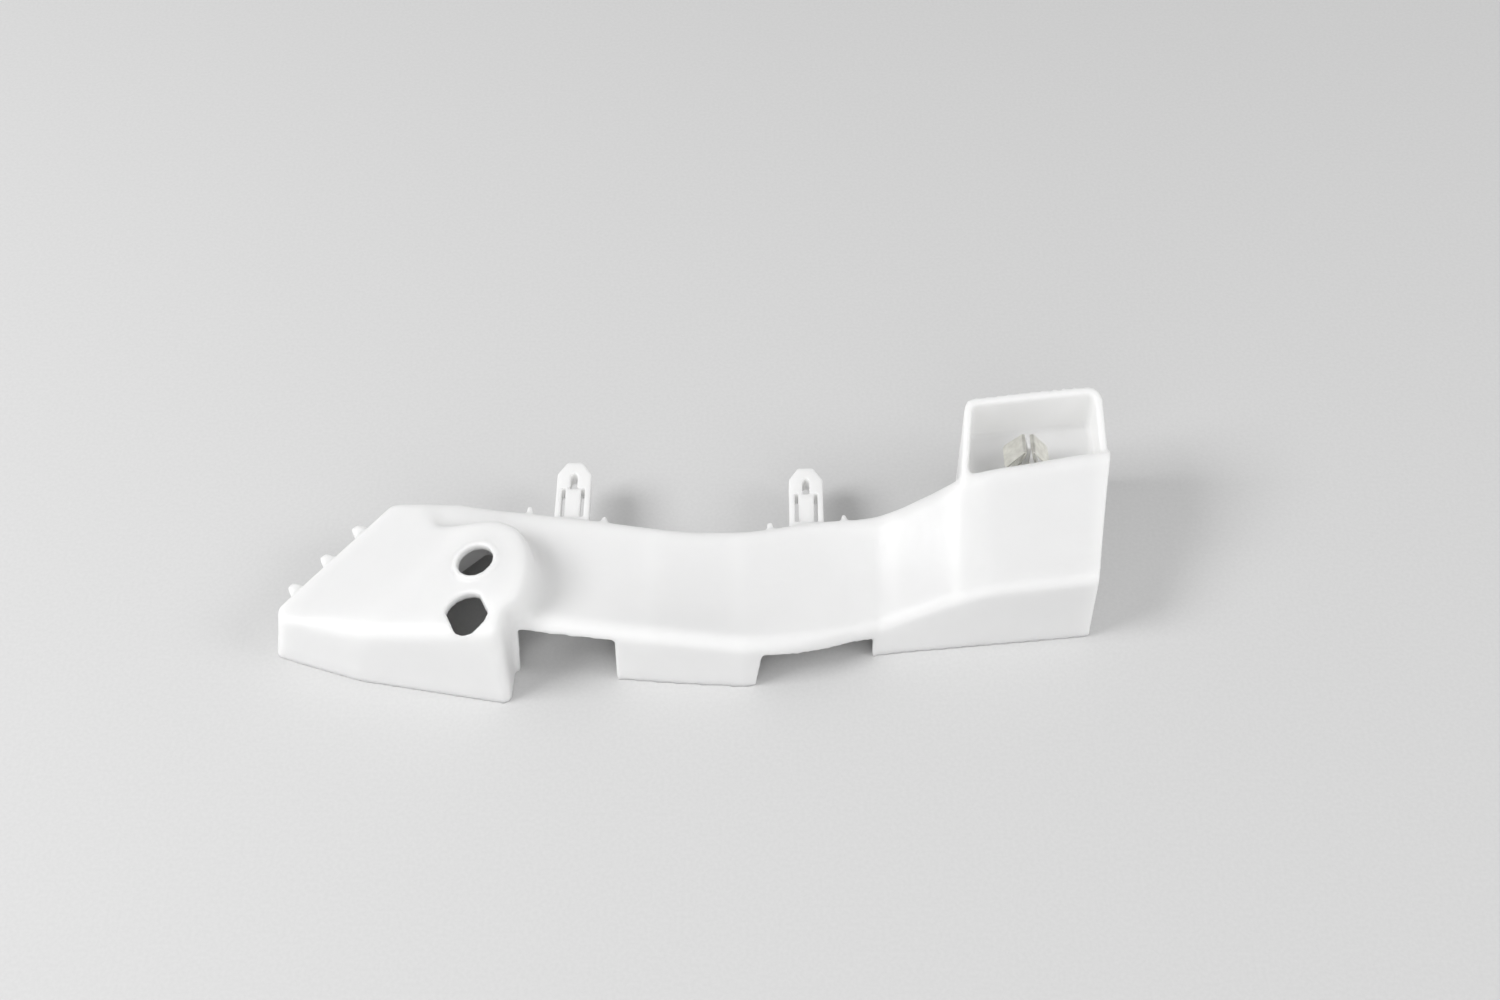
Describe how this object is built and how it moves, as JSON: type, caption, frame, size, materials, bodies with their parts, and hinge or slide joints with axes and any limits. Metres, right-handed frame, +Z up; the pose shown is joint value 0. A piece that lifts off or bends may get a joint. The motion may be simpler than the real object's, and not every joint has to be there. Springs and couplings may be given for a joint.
{
  "type": "bumper mounting bracket",
  "caption": "Moulded side bracket for a car bumper: domed head with fixing holes, dished channel, snap hooks along its back and a pocket holding a steel spring clip.",
  "frame": {"origin": "under the middle of the whole bracket, in the plane its front skirts stand on", "axes": "+X along the bracket from the domed head to the clip pocket, +Y from the front skirts to the snap hooks, +Z up"},
  "size_m": [0.2508, 0.0862, 0.045],
  "materials": {
    "white_plastic": "smooth white moulded plastic with a soft satin sheen",
    "spring_steel": "plain rolled spring steel, dull grey with a slightly yellow cast"
  },
  "bodies": {
    "root": {"bracket_moulding": "white_plastic", "spring_clip": "spring_steel"}
  },
  "joints": []
}
